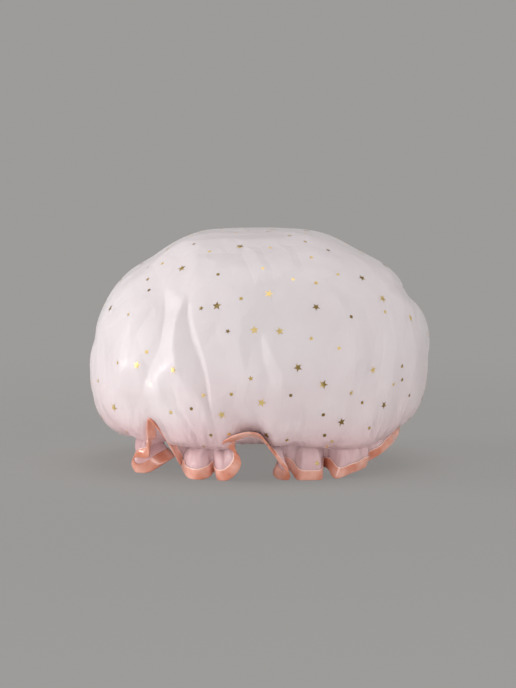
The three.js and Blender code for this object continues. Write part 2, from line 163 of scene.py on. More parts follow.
def seen_round(points):
    """Angles from the front round the mouth, and radii."""
    x, y = points[..., 0] - MOUTH_SHIFT, points[..., 1]
    return np.arctan2(x, -y), np.hypot(x, y)


def unit(vectors):
    return vectors / np.linalg.norm(vectors, axis=-1, keepdims=True)


def closed_line(points):
    """A line with its first point again at its end, and the length up to each point."""
    closed = np.vstack([points, points[:1]])
    steps = np.linalg.norm(np.diff(closed, axis=0), axis=1)
    return closed, np.concatenate([[0], np.cumsum(steps)])


def at_lengths(wanted, length, values):
    return np.stack([np.interp(wanted, length, values[:, axis]) for axis in range(3)], axis=1)


# The hem's curve

def hem_rows():
    rows = list(FRONT_HEM)
    for crest, half, reach, lift, trough, low_reach, low_lift in BACK_HEM:
        rows.append((crest - half, reach - 1, lift))
        rows.append((crest + half, reach - 1, lift))
        rows.append((trough, low_reach, low_lift))
    return np.array(rows, float)


STEPS_PER_ROW = 24


def closed_curve(points, count):
    """Points spread evenly along a closed centripetal Catmull-Rom curve, and its length."""
    before, here = np.roll(points, 1, axis=0), points
    after, beyond = np.roll(points, -1, axis=0), np.roll(points, -2, axis=0)

    def knot(one, other):
        return np.sqrt(np.linalg.norm(other - one, axis=1))[:, None, None]

    first, second, third = knot(before, here), knot(here, after), knot(after, beyond)
    before, here, after, beyond = (group[:, None, :] for group in (before, here, after, beyond))
    leave = (here - before) / first - (after - before) / (first + second) + (after - here) / second
    arrive = (after - here) / second - (beyond - here) / (second + third) + (beyond - after) / third
    leave, arrive = leave * second, arrive * second
    part = (np.arange(STEPS_PER_ROW) / STEPS_PER_ROW)[None, :, None]
    curve = (
        (2 * here - 2 * after + leave + arrive) * part**3
        + (3 * after - 3 * here - 2 * leave - arrive) * part**2
        + leave * part
        + here
    ).reshape(-1, 3)
    closed, length = closed_line(curve)
    return at_lengths(np.arange(count) / count * length[-1], length, closed), length[-1]


COLUMNS = 880
rows = hem_rows()
hem_controls = polar(
    np.radians(rows[:, 0]), ELASTIC_RADIUS + rows[:, 1], rows[:, 2], MOUTH_SHIFT
)
hem, HEM_LENGTH = closed_curve(hem_controls, COLUMNS)
hem[:, 2] = np.maximum(hem[:, 2], 0)


def around_blur(values, span, lap_rise=0.0):
    """Means over a window that runs round, of values that grow by lap_rise on each lap."""
    window = np.hanning(2 * span + 1)
    window /= window.sum()
    laps = np.concatenate([values - lap_rise, values, values + lap_rise])
    return np.convolve(laps, window, mode="same")[len(values):2 * len(values)]


ROOT_SPAN = 62  # the columns over which the hem's folds even out at the casing
MIDDLE_REACH = 9.0
REACH_RANGE = 14.0

hem_angle, hem_radius = seen_round(hem)
hem_reach = hem_radius - ELASTIC_RADIUS
root_angle = around_blur(np.unwrap(hem_angle), ROOT_SPAN, TURN)
even_angle = around_blur(root_angle, COLUMNS // 3, TURN)
wave = (around_blur(hem_reach, 5) - MIDDLE_REACH) / REACH_RANGE

# Small gathers along the elastic, of uneven width and depth
GATHERS = 61
GATHER_DEPTH = 1.3
GATHER_DRIFT = 3.2
GATHER_UNEVENNESS = 2.2
random = np.random.default_rng(7)
gather_drift = around_blur(random.normal(0, 1, COLUMNS), 30) * GATHER_DRIFT
gather_size = 1 + GATHER_UNEVENNESS * around_blur(random.normal(0, 1, COLUMNS), 12)
column = np.arange(COLUMNS) / COLUMNS * TURN
gather_wave = np.sin(GATHERS * column + gather_drift) * np.clip(gather_size, 0.4, 1.7)


def elastic_height(angle):
    return ELASTIC_HEIGHT + ELASTIC_RISE * np.sin(angle)


RAISED_RISE = 10.0  # a fold whose hem is this far over the casing's foot stands up fully
DRAWN_RISE = 4.0
hem_rise = around_blur(hem[:, 2], 6) - (elastic_height(root_angle) - CASING_WIDTH / 2)
raised_share = smooth(hem_rise, 0, RAISED_RISE)
drawn = around_blur(smooth(hem_rise, -DRAWN_RISE, DRAWN_RISE), 16)


def vertex_normals(grid):
    """Normals that point out of a grid whose rows run down and whose columns run to the right."""
    down = np.gradient(grid, axis=0)
    right = np.roll(grid, -1, axis=1) - np.roll(grid, 1, axis=1)
    normal = np.cross(right, -down)
    return normal / np.maximum(np.linalg.norm(normal, axis=2, keepdims=True), 1e-9)


# The crown

FULLEST_WAY = 0.6
UNDERSIDE_WAVE = 3.5  # how far the hem's folds run up into the crown's underside
CASING_WAVE = 0.8
CROWN_ROWS = 78
CASING_ROWS = 3
RUFFLE_ROWS = 26


def crown_base(angle, way):
    """The crown's plain form, way 0 at the top and 1 at the casing's upper edge."""
    side = np.sin(angle) ** 2
    near_radius = np.where(np.cos(angle) > 0, FRONT_RADIUS, BACK_RADIUS)
    full_radius = mix(near_radius, SIDE_RADIUS, side)
    fullest = FULLEST_HEIGHT + FULLEST_RISE * np.sin(angle)
    roundness = ROUNDNESS + ROUNDNESS_RISE * np.sin(angle)
    slope = np.clip(way / FULLEST_WAY, 0, 1) * math.pi / 2
    upper_radius = full_radius * np.sin(slope) ** roundness
    dome = mix(fullest, CROWN_HEIGHT + DOME_OVER_TOP, np.abs(np.cos(slope)) ** roundness)
    upper_height = -TOP_EDGE * np.logaddexp(-dome / TOP_EDGE, -CROWN_HEIGHT / TOP_EDGE)
    casing_top = elastic_height(angle) + CASING_WIDTH / 2
    part = np.clip((way - FULLEST_WAY) / (1 - FULLEST_WAY), 0, 1)
    bend, reach, sag = (
        mix(mix(plain, at_side, side), at_fold, drawn)
        for plain, at_side, at_fold in zip(UNDERSIDE, SIDE_UNDERSIDE, DRAWN_UNDERSIDE)
    )
    right_sag = RIGHT_SAG * np.exp(-(((angle - RIGHT_SAG_PLACE) / RIGHT_SAG_REACH) ** 2))
    lower_radius = bezier(full_radius, full_radius, ELASTIC_RADIUS + reach, ELASTIC_RADIUS, part)
    lower_height = bezier(
        fullest, mix(fullest, casing_top, bend), casing_top - sag - right_sag, casing_top, part
    )
    over = way < FULLEST_WAY
    radius = np.where(over, upper_radius, lower_radius)
    height = np.where(over, upper_height, lower_height)
    shift = MOUTH_SHIFT * smooth(way, FULLEST_WAY, 1)
    return polar(angle, radius, height, shift)


def bezier(start, leave, arrive, end, part):
    rest = 1 - part
    return start * rest**3 + 3 * leave * rest**2 * part + 3 * arrive * rest * part**2 + end * part**3


FOLD_SCALE = 1.2
FOLD_STEPS = 20

# Folds seen from the front. A fold is a line of places in the picture's plane, millimetres to the
# right of the middle and up from the ground, with its height, its reach to the left and to the
# right of a line that runs down, and how sharp its crest is: 1 is a crease and 2 is round.
FRONT_FOLDS = (
    # soft facets on the right
    (((58, 144), (67, 124), (73, 106), (76, 84), (74, 60), (70, 36)), 1.6, 16, 16, 1.1),
    (((94, 96), (80, 80), (68, 70), (60, 56), (56, 32)), 1.8, 14, 14, 1.1),
    (((84, 156), (97, 134), (103, 112), (104, 88), (100, 62)), 1.8, 14, 14, 1.15),
    # the left edge and the top
    (((-134, 112), (-129, 90), (-127, 72), (-124, 46)), -3.0, 8, 8, 1.3),
    (((-38, 190), (-51, 170), (-50, 154), (-43, 136)), 1.8, 18, 14, 1.15),
    (((18, 191), (40, 176), (62, 167), (88, 157)), 1.8, 14, 16, 1.15),
)

# Flat facets seen from the front. Each group holds lines that run down, from the left to the
# right. A line is a crease: millimetres to the right of the middle, up from the ground, and the
# height of the crease. The sheet is flat from one line to the next.
FRONT_FACETS = (
    # the leaf-shaped facet, the tall ridge, the facet on its right and the long crease
    (
        ((-110, 146, 0), (-124, 126, 0), (-132, 100, 0), (-135, 76, 0), (-132, 30, 0)),
        (
            (-81, 144, 0), (-98, 130, 2.6), (-103, 113, 3.6), (-109, 97, 3.8), (-111, 76, 3.4),
            (-112, 56, 2), (-108, 26, 0),
        ),
        (
            (-77, 143, 0), (-78, 132, -2.4), (-78.5, 123, -3), (-80.5, 109, -3.4), (-82.6, 95, -3.4),
            (-88, 80, -3), (-94, 66, -2), (-96, 52, -1), (-92, 26, 0),
        ),
        (
            (-74, 146, 0), (-61, 131, 2.2), (-66, 123, 2.8), (-68, 109, 3), (-69, 95, 3), (-66, 76, 2.8),
            (-60, 68, 2.6), (-52, 57, 2.4), (-43.4, 43, 2.2), (-39.2, 26.5, 1.8), (-36, 10, 0),
        ),
        (
            (-58, 133, 0), (-58.5, 122, -1.6), (-54.6, 105, -2.4), (-48.4, 88, -2.4), (-44.3, 72, -2.2),
            (-42.2, 58, -1.6), (-40.2, 44, -0.6), (-36, 30, 0), (-32, 12, 0),
        ),
        (
            (-56, 133, 0), (-55.4, 122, 1.2), (-51.6, 105, 1.8), (-45.4, 88, 2), (-41.3, 72, 2),
            (-39.2, 58, 1.7), (-38, 44, 0.8), (-34, 30, 0), (-30, 12, 0),
        ),
        ((-38, 133, 0), (-34, 105, 0), (-27, 88, 0), (-22, 72, 0), (-26, 44, 0), (-22, 12, 0)),
    ),
    # narrow facets that fan out above the left of the hem
    (
        ((-104, 72, 0), (-98, 52, 0), (-90, 38, 0), (-80, 20, 0), (-72, 8, 0)),
        ((-90, 72, 0), (-86, 55, 1.6), (-76, 39, 1.8), (-64, 22, 1.5), (-58, 8, 0)),
        ((-73, 70, 0), (-67.5, 48, -1.3), (-58, 34, -1.3), (-50, 22, -0.9), (-44, 8, 0)),
        ((-70.5, 70, 0), (-65, 48, 1), (-55.5, 34, 1.1), (-47.5, 22, 0.9), (-41, 8, 0)),
        ((-58, 70, 0), (-50, 50, 0), (-43, 36, 0), (-38, 22, 0), (-34, 8, 0)),
    ),
    # the forked crease at the middle
    (
        ((-16, 112, 0), (-16, 90, 0), (-16, 70, 0), (-14, 52, 0)),
        ((2, 108, 0), (3, 96, -1), (5, 84, -1.5), (8, 74, -1.5), (11, 64, -0.8), (16, 54, 0)),
        ((4, 108, 0), (8, 96, 1.2), (13, 86, 1.8), (18, 76, 1.9), (22, 64, 1.4), (27, 54, 0)),
        ((20, 112, 0), (30, 96, 0), (40, 80, 0), (46, 64, 0), (46, 52, 0)),
    ),
    # the curl under it
    (
        ((18, 56, 0), (22, 42, 0), (20, 30, 0), (16, 8, 0)),
        ((32, 56, 0), (37.5, 42, -1), (35.5, 30, -1), (31, 18, -0.8), (28, 8, 0)),
        ((35, 56, 0), (41, 42, 1.5), (39, 30, 1.6), (34.5, 18, 1.2), (31, 8, 0)),
        ((50, 56, 0), (58, 42, 0), (54, 30, 0), (46, 8, 0)),
    ),
    # the broad facets on the right
    (
        ((42, 150, 0), (50, 120, 0), (50, 96, 0), (42, 66, 0), (40, 36, 0)),
        ((60, 142, 0), (74, 120, 1.3), (72, 97, 1.5), (62, 66, 1.2), (56, 36, 0)),
        ((88, 146, 0), (101, 118, -1), (103, 96, -1.2), (102, 70, -1), (94, 40, 0)),
        ((96, 146, 0), (110, 118, 0.9), (113, 96, 1.2), (111, 68, 1.4), (105, 40, 0)),
        ((112, 140, 0), (124, 118, 0), (128, 96, 0), (124, 66, 0), (116, 40, 0)),
    ),
)


def flat_facets(across, up, lines):
    """How far the flat facets between a group's lines lift each place."""
    places, heights = [], []
    for line in lines:
        line_across, line_up, line_height = np.array(line[::-1], float).T
        places.append(np.interp(up, line_up, line_across))
        heights.append(np.interp(up, line_up, line_height))
    total = np.zeros(across.shape)
    for number in range(len(lines) - 1):
        start, end = places[number], places[number + 1]
        part = (across - start) / np.maximum(end - start, 1e-6)
        inside = (part >= 0) & (part < 1)
        total = np.where(inside, mix(heights[number], heights[number + 1], part), total)
    return total


def stroke(count, points):
    """Places spread along a line through given points."""
    points = np.array(points, float)
    padded = np.vstack([2 * points[0] - points[1], points, 2 * points[-1] - points[-2]])
    number = np.linspace(0, len(points) - 1.000001, count)
    first = number.astype(int)
    part = (number - first)[:, None]
    a, b, c, d = (padded[first + step] for step in range(4))
    return 0.5 * (
        2 * b + (c - a) * part + (2 * a - 5 * b + 4 * c - d) * part**2
        + (3 * b - a - 3 * c + d) * part**3
    )


def fold_height(across, up, line, height, left, right, sharpness):
    """How far one fold lifts each place. Its ends run out to nothing."""
    line = stroke(FOLD_STEPS, line)
    best = np.full(across.shape, 1e9)
    along = np.zeros(across.shape)
    to_right = np.zeros(across.shape, bool)
    for number in range(len(line) - 1):
        start, step = line[number], line[number + 1] - line[number]
        size = step @ step
        part = ((across - start[0]) * step[0] + (up - start[1]) * step[1]) / size
        part = np.clip(part, 0, 1)
        off_x = across - start[0] - part * step[0]
        off_y = up - start[1] - part * step[1]
        distance = np.hypot(off_x, off_y)
        nearer = distance < best
        best = np.where(nearer, distance, best)
        along = np.where(nearer, (number + part) / (len(line) - 1), along)
        to_right = np.where(nearer, off_x * step[1] < off_y * step[0], to_right)
    width = np.where(to_right, right, left)
    ends = smooth(along, 0, 0.3) * smooth(1 - along, 0, 0.3)
    return height * ends * np.exp(-((best / width) ** sharpness))


# Dents, and one swelling, that cross the outline: degrees from the front and height, then how far
# they lift the sheet and their width
OUTLINE_DENTS = (
    (((58, 152), (74, 146), (90, 140), (106, 136), (120, 134)), -4.0, 9),
    (((40, 184), (70, 181), (90, 179), (125, 177)), -3.0, 8),
    (((232, 96), (262, 102), (284, 108)), -1.5, 10),
    (((80, 128), (86, 112), (90, 98), (89, 84)), 1.5, 22),
    (((84, 52), (90, 44), (96, 38)), -5.0, 18),
    (((240, 176), (270, 172), (300, 170)), -4.0, 14),
    (((258, 84), (264, 62), (268, 40)), -2.5, 20),
)
DENT_SHARPNESS = 1.8

# The pleats of the sides and the back, in degrees from the front
FIRST_PLEAT, LAST_PLEAT, PLEAT_PITCH = 86, 288, 13.0
PLEAT_FOOT = 26


def other_facet_groups():
    """Facets of the sides and the back: places round the cap and up it, as for the front."""
    random = np.random.default_rng(11)
    groups = []
    for angle in np.arange(FIRST_PLEAT, LAST_PLEAT, PLEAT_PITCH):
        peak = math.radians(angle + random.uniform(-4, 4)) * SIDE_RADIUS
        top = random.uniform(96, 156)
        lean = random.uniform(-14, 14)
        height = random.uniform(1.8, 3.4) * random.choice((1, 1, 0.55))
        left, middle, right = random.uniform((12, 7, 9), (20, 15, 22))
        crease = random.uniform(2.5, 4)
        offsets = (-left, 0, middle, middle + crease, middle + crease + right)
        lifts = (0, height, -0.8 * height, 0.7 * height, 0)
        if random.uniform() < 0.4:
            offsets = tuple(-offset for offset in offsets[::-1])
            lifts = lifts[::-1]
        lines = []
        for offset, lift in zip(offsets, lifts):
            line = []
            for share, spread, size in ((0, 0.35, 0), (0.25, 0.6, 0.7), (0.55, 0.9, 1), (1, 1, 0.5)):
                bent = lean * share**1.5 + random.uniform(-1.2, 1.2)
                up = mix(top, PLEAT_FOOT, share)
                line.append((peak + offset * spread + bent, up, lift * size))
            lines.append(line)
        groups.append(lines)
    return groups


def other_folds(points):
    """How far the pleats of the sides and the back, and the dents, lift each place."""
    angle = np.arctan2(points[..., 0], -points[..., 1]) % TURN
    around = angle * SIDE_RADIUS
    total = np.zeros(angle.shape)
    for lines in other_facet_groups():
        total += flat_facets(around, points[..., 2], lines)
    total *= smooth(points[..., 1], -34, 4) * smooth(points[..., 2], 18, 40)
    for line, height, width in OUTLINE_DENTS:
        line = [(math.radians(degrees) * SIDE_RADIUS, up) for degrees, up in line]
        total += fold_height(around, points[..., 2], line, height, width, width, DENT_SHARPNESS)
    return total


FACET_DEPTH = 0.8
FACET_WAVES = 9
MEAN_OF_WAVE = 0.64


def facets(points):
    """Faint creases between the flatter places of slack film."""
    random = np.random.default_rng(5)
    total = np.zeros(points.shape[:2])
    for _ in range(FACET_WAVES):
        direction = random.normal(0, 1, 3)
        direction /= np.linalg.norm(direction)
        length = random.uniform(60, 130)
        place = points @ direction * math.pi / length + random.uniform(0, 6)
        total += FACET_DEPTH * (np.abs(np.sin(place)) - MEAN_OF_WAVE)
    return total


def in_picture(points):
    """Where the camera sees points: to the right of the middle and up from the ground line."""
    from_aim = points - AIM
    nearer = -from_aim[..., 1] * LEVEL + from_aim[..., 2] * STEEP
    size = 1 / (1 - nearer * MM / CAMERA_DISTANCE)
    across = from_aim[..., 0] * size
    up = (from_aim[..., 2] * LEVEL + from_aim[..., 1] * STEEP) * size
    return across, up + AIM[2] * LEVEL


def front_folds(points):
    """How far the folds and the facets of the front lift each place."""
    across, up = in_picture(points)
    front = smooth(-points[..., 1], -10, 30)
    total = np.zeros(across.shape)
    for line, height, left, right, sharpness in FRONT_FOLDS:
        total += fold_height(across, up, line, FOLD_SCALE * height, left, right, sharpness)
    for lines in FRONT_FACETS:
        total += flat_facets(across, up, lines)
    return total * front


PRESS_ROOM = 1.2  # the crown keeps this far behind a fold of the ruffle that stands up
PRESS_SLOPE = 0.6  # and less far behind it by this much for each millimetre away from the fold
PRESS_FULL = 2.0  # beyond this distance
PRESS_SHARE = 0.8


def pressed_in(points, way, flaps):
    """How far the raised folds of the ruffle press each place of the crown in."""
    flap_angle, flap_radius = seen_round(flaps)
    tree = KDTree(len(flaps) * 3)
    radii = np.tile(flap_radius, 3)
    places = np.stack([
        np.concatenate([flap_angle - TURN, flap_angle, flap_angle + TURN]) * ELASTIC_RADIUS,
        np.tile(flaps[:, 2], 3),
        np.zeros(len(radii)),
    ], axis=1)
    for number, place in enumerate(places):
        tree.insert(place, number)
    tree.balance()
    angle, radius = seen_round(points)
    push = np.zeros(radius.shape)
    for row, column in zip(*np.where(way > 0.5)):
        place = (angle[row, column] * ELASTIC_RADIUS, points[row, column, 2], 0)
        _, number, distance = tree.find(place)
        limit = radii[number] - PRESS_ROOM + PRESS_SLOPE * max(0, distance - PRESS_FULL)
        push[row, column] = max(0, radius[row, column] - limit)
    for _ in range(4):
        push = np.stack([around_blur(line, 8) for line in push])
        push = (np.roll(push, 1, axis=0) + 2 * push + np.roll(push, -1, axis=0)) / 4
    return push * PRESS_SHARE * smooth(way, 0.5, 0.72) * (1 - smooth(way, 0.95, 1))


def crown_grid(flaps):
    """The crown's outside, and the way it faces before its creases."""
    way = (np.arange(CROWN_ROWS) + 0.5) / (CROWN_ROWS - 0.5)
    way = way[:, None]
    angle = mix(even_angle, root_angle, smooth(way, 0.55, 1))
    points = crown_base(angle, way)
    sideways = polar(angle, np.ones_like(way * angle), np.zeros_like(way * angle))
    underside = wave * UNDERSIDE_WAVE * smooth(way, FULLEST_WAY, 0.92)
    fold = mix(underside, wave * CASING_WAVE, smooth(way, 0.9, 1))
    small = GATHER_DEPTH * gather_wave * smooth(way, 0.84, 1)
    points = points + sideways * (fold + small)[..., None]
    outward = vertex_normals(points)
    free = 1 - smooth(way, 0.93, 1)
    top = smooth(CROWN_HEIGHT - points[..., 2], 4, 34)
    crease = (front_folds(points) + other_folds(points) + facets(points) * top) * free
    points = points + outward * crease[..., None]
    way = np.broadcast_to(way, points.shape[:2])
    points = points - sideways * pressed_in(points, way, flaps)[..., None]
    return points, outward


def casing_grid():
    """The gathered band of both sheets over the elastic."""
    share = (np.arange(CASING_ROWS) + 1)[:, None] / CASING_ROWS
    height = elastic_height(root_angle) + CASING_WIDTH * (0.5 - share)
    radius = ELASTIC_RADIUS + wave * CASING_WAVE + GATHER_DEPTH * gather_wave
    return polar(root_angle, np.broadcast_to(radius, height.shape), height, MOUTH_SHIFT)


def ruffle_grid(start):
    """The ruffle from the casing's foot to the hem, bent outside the straight line between them."""
    share = (np.arange(RUFFLE_ROWS) + 1)[:, None, None] / RUFFLE_ROWS
    reach = around_blur(hem_reach, 6) + FLARE_OUT - RAISED_FLARE_IN * raised_share
    reach = reach + LOW_FLARE_OUT * smooth(-hem_rise, 4, 22)
    low_lift = LOW_LIFT_SHARE * np.maximum(LOW_LIFT_START + hem_rise, 0)
    lift = mix(low_lift, RAISED_LIFT_SHARE * hem_rise, raised_share)
    bend = start + polar(root_angle, reach, lift)
    return start * (1 - share) ** 2 + 2 * bend * share * (1 - share) + hem * share**2


casing = casing_grid()
ruffle = ruffle_grid(casing[-1])
raised = ruffle[ruffle[..., 2] > elastic_height(root_angle) + CASING_WIDTH * 0.2]
crown, crown_outward = crown_grid(raised)
meeting = np.vstack([crown, casing, ruffle])
normals = vertex_normals(meeting)


# Meshes

def grid_faces(index):
    """Faces over a grid of point numbers that closes from its last column to its first."""
    ahead = np.roll(index, -1, axis=1)
    quads = np.stack([index[:-1], index[1:], ahead[1:], ahead[:-1]], axis=-1)
    return quads.reshape(-1, 4).tolist()


def new_mesh(name, points, faces, smooth_faces=True):
    mesh = bpy.data.meshes.new(name)
    mesh.from_pydata([tuple(point) for point in points * MM], [], faces)
    mesh.update()
    piece = bpy.data.objects.new(name, mesh)
    bpy.context.scene.collection.objects.link(piece)
    if smooth_faces:
        mesh.polygons.foreach_set("use_smooth", [True] * len(mesh.polygons))
    return piece


def sheet_mesh(name, grid):
    """A sheet from its grid, closed over the crown by a fan round its top point."""
    count, around = grid.shape[:2]
    top = np.array([0, 0, grid[0, :, 2].mean() + TOP_RISE])
    points = np.vstack([grid.reshape(-1, 3), top[None, :]])
    index = np.arange(count * around).reshape(count, around)
    faces = grid_faces(index)
    last = count * around
    faces += [(last, number, (number + 1) % around) for number in range(around)]
    return new_mesh(name, points, faces)


def loop_mesh(name, sections):
    """A closed tube from a ring of closed sections, as an array of section, corner and axis."""
    around, corners = sections.shape[:2]
    index = np.arange(around * corners).reshape(around, corners)
    ahead = np.roll(index, -1, axis=0)
    quads = np.stack(
        [index, ahead, np.roll(ahead, -1, axis=1), np.roll(index, -1, axis=1)], axis=-1
    )
    return new_mesh(name, sections.reshape(-1, 3), quads.reshape(-1, 4).tolist())


# Materials

def put(tree, value, socket):
    """Link another node's socket to a socket, or set a plain value on it."""
    if isinstance(value, bpy.types.NodeSocket):
        tree.links.new(value, socket)
    else:
        socket.default_value = value


def add(tree, kind, inputs, **settings):
    """A new node with its settings, then its inputs by name or by number."""
    node = tree.nodes.new("ShaderNode" + kind)
    for name, value in settings.items():
        setattr(node, name, value)
    for name, value in inputs.items():
        put(tree, value, node.inputs[name])
    return node


def new_material(name, colour, roughness, more=None):
    material = bpy.data.materials.new(name)
    material.use_nodes = True
    tree = material.node_tree
    shader = tree.nodes["Principled BSDF"]
    shader.inputs["Base Color"].default_value = (*colour, 1)
    shader.inputs["Roughness"].default_value = roughness
    for socket, value in (more or {}).items():
        shader.inputs[socket].default_value = value
    return material, tree, shader


def object_coordinates(tree):
    return add(tree, "TexCoord", {}).outputs["Object"]


def noise(tree, scale, place, detail=3.0, output="Fac"):
    inputs = {"Scale": scale, "Detail": detail, "Roughness": 0.5, "Vector": place}
    return add(tree, "TexNoise", inputs).outputs[output]


def height_in(tree, place):
    return add(tree, "SeparateXYZ", {"Vector": place}).outputs["Z"]


def calculate(tree, operation, *values):
    return add(tree, "Math", dict(enumerate(values)), operation=operation).outputs["Value"]


def blend(tree, share, one, other):
    inputs = {"Factor": share, "A": one, "B": other}
    return add(tree, "Mix", inputs, data_type="RGBA").outputs["Result"]


def mix_shaders(tree, share, one, other):
    return add(tree, "MixShader", {"Fac": share, 1: one, 2: other}).outputs["Shader"]


def map_range(tree, value, start, end, low=0.0, high=1.0, kind="LINEAR"):
    """The value's way from start to end, turned into a way from low to high."""
    inputs = {"Value": value, "From Min": start, "From Max": end, "To Min": low, "To Max": high}
    return add(tree, "MapRange", inputs, interpolation_type=kind).outputs["Result"]


def cloudy(tree, cloud, one, other, start=0.3, end=0.7):
    """A colour that drifts from one to the other as a noise grows from start to end."""
    node = add(tree, "ValToRGB", {"Fac": cloud})
    stops = ((start, one), (end, other))
    for element, (place, colour) in zip(node.color_ramp.elements, stops):
        element.position = place
        element.color = (*colour, 1)
    return node.outputs["Color"]


def finish(tree, shader, colour, *bumps):
    """Give a shader its colour, and bumps over one another: heights, strength and metres."""
    facing = {}
    for heights, strength, distance in bumps:
        inputs = {"Height": heights, "Strength": strength, "Distance": distance, **facing}
        facing = {"Normal": add(tree, "Bump", inputs).outputs["Normal"]}
    for name, value in {"Base Color": colour, **facing}.items():
        put(tree, value, shader.inputs[name])


def graded_by_height(tree, place, cloud_scale, lowest, *layers):
    """A cloudy colour that changes with height.

    lowest is its pair of colours at the bottom. Each layer is the heights in millimetres between
    which the colour changes, and the pair that it changes to.
    """
    cloud = noise(tree, cloud_scale, place)
    up = height_in(tree, place)
    colour = cloudy(tree, cloud, *lowest)
    for start, end, pair in layers:
        share = map_range(tree, up, start * MM, end * MM, kind="SMOOTHSTEP")
        colour = blend(tree, share, colour, cloudy(tree, cloud, *pair))
    return colour


FACET_TALL = 1.7  # the flat places are this much longer down the cap than round it
FACET_TURN = (0.3, 0.5, 0.9)
FACET_WARP = 0.03


def facet_heights(tree, place, size):
    """Heights of the flat places in crisp film, size metres apart, that meet in sharp creases."""
    warp = noise(tree, 16, place, detail=1, output="Color")
    inputs = {0: warp, 1: (FACET_WARP,) * 3, 2: place}
    warped = add(tree, "VectorMath", inputs, operation="MULTIPLY_ADD").outputs["Vector"]
    inputs = {"Vector": warped, "Rotation": FACET_TURN, "Scale": (1, 1, 1 / FACET_TALL)}
    turned = add(tree, "Mapping", inputs).outputs["Vector"]
    inputs = {"Scale": 1 / size, "Vector": turned}
    return add(tree, "TexVoronoi", inputs, distance="CHEBYCHEV").outputs["Distance"]


GATHERS_END = 64.0  # millimetres up, where the fine gathers above the elastic have run out
GATHER_SHORTNESS = 0.16  # their width as a share of their length


def gather_heights(tree, place):
    """Heights of the fine gathers that run up and down the film near the elastic."""
    inputs = {"Vector": place, "Scale": (1, 1, GATHER_SHORTNESS)}
    drawn_out = add(tree, "Mapping", inputs).outputs["Vector"]
    streaks = noise(tree, 110, drawn_out, detail=2)
    up = height_in(tree, place)
    strength = map_range(tree, up, ELASTIC_HEIGHT * MM, GATHERS_END * MM, 1.0, 0.0)
    return calculate(tree, "MULTIPLY", streaks, strength)


def film_material():
    material, tree, shader = new_material("sheer_film", (0.86, 0.81, 0.83), 0.4, {
        "Alpha": 0.58,
        "Specular IOR Level": 0.3,
        "Sheen Weight": 0.08,
        "Sheen Roughness": 0.4,
        "Coat Weight": 0.09,
        "Coat Roughness": 0.17,
    })
    place = object_coordinates(tree)
    # Darker and pinker towards the bottom: partly the pink lining seen through the double layer, partly
    # painted shade where the crown's lip hangs over the ruffle
    colour = graded_by_height(
        tree, place, 14,
        ((0.8, 0.53, 0.55), (0.84, 0.59, 0.6)),
        (10, 58, ((0.82, 0.67, 0.69), (0.88, 0.81, 0.82))),
        (44, 120, ((0.85, 0.795, 0.81), (0.89, 0.85, 0.865))),
    )
    finish(
        tree, shader, colour,
        (noise(tree, 60, place, detail=4), 0.12, 0.002),
        (facet_heights(tree, place, 0.05), 1, 0.006),
        (facet_heights(tree, place, 0.02), 1, 0.0012),
        (gather_heights(tree, place), 1, 0.005),
    )
    return material


def lining_material():
    name, colour = "lining_film", (0.82, 0.66, 0.7)
    material, tree, shader = new_material(name, colour, 0.42, {"Alpha": 0.76})
    place = object_coordinates(tree)
    # Darker and more saturated towards the bottom: partly the lining's own pink, partly painted shade of
    # the crevices under the crown
    colour = graded_by_height(
        tree, place, 9,
        ((0.82, 0.5, 0.51), (0.86, 0.57, 0.58)),
        (6, 60, ((0.82, 0.69, 0.715), (0.87, 0.75, 0.775))),
        (44, 120, ((0.83, 0.72, 0.75), (0.88, 0.78, 0.81))),
    )
    finish(tree, shader, colour, (noise(tree, 900, place, detail=2), 0.15, 0.0004))
    return material


EDGE_HIGHLIGHT_WIDTH = 0.55  # millimetres of painted highlight, a paler line, along each top edge of the ribbon
EDGE_HIGHLIGHT_COLOUR = (0.87, 0.6, 0.52, 1)
RIBBON_GRAIN = (60, 2600, 1)  # threads to a metre along the ribbon and across it


def edge_highlight_share(tree, across):
    """1 on the edges of the ribbon's outside that carry a painted highlight, by the metres round its
    section, else 0.
    """
    leg_start = RIBBON_WIDTH * 2 + (RIBBON_GAP + EDGE_ROOM) * 1.3
    leg_end = leg_start + RIBBON_WIDTH * 2 + (RIBBON_GAP + RIBBON_THICKNESS + EDGE_ROOM) * 2
    shares = [
        calculate(tree, "COMPARE", across, middle * MM, EDGE_HIGHLIGHT_WIDTH * MM)
        for middle in (leg_start, leg_end)
    ]
    return calculate(tree, "MAXIMUM", *shares)


def ribbon_material():
    material, tree, shader = new_material("satin_ribbon", (0.68, 0.285, 0.2), 0.36, {
        "Sheen Weight": 0.2,
        "Sheen Roughness": 0.35,
        "Coat Weight": 0.8,
        "Coat Roughness": 0.24,
    })
    flat = add(tree, "TexCoord", {}).outputs["UV"]
    cloud = noise(tree, 55, object_coordinates(tree))
    colour = cloudy(tree, cloud, (0.6, 0.2, 0.115), (0.84, 0.46, 0.37), 0.38, 0.66)
    across = add(tree, "SeparateXYZ", {"Vector": flat}).outputs["Y"]
    # Painted highlight: a paler line along the ribbon's top edges, in place of the bright rims of light
    # there
    colour = blend(tree, edge_highlight_share(tree, across), colour, EDGE_HIGHLIGHT_COLOUR)
    grain = add(tree, "Mapping", {"Vector": flat, "Scale": RIBBON_GRAIN}).outputs["Vector"]
    finish(tree, shader, colour, (noise(tree, 1, grain, detail=2), 0.25, 0.0003))
    return material


def elastic_material():
    material, tree, shader = new_material("ribbed_elastic", (0.84, 0.81, 0.79), 0.75)
    place = object_coordinates(tree)
    colour = cloudy(tree, noise(tree, 60, place), (0.8, 0.77, 0.75), (0.87, 0.84, 0.82))
    finish(tree, shader, colour, (noise(tree, 1200, place, detail=2), 0.3, 0.0004))
    return material


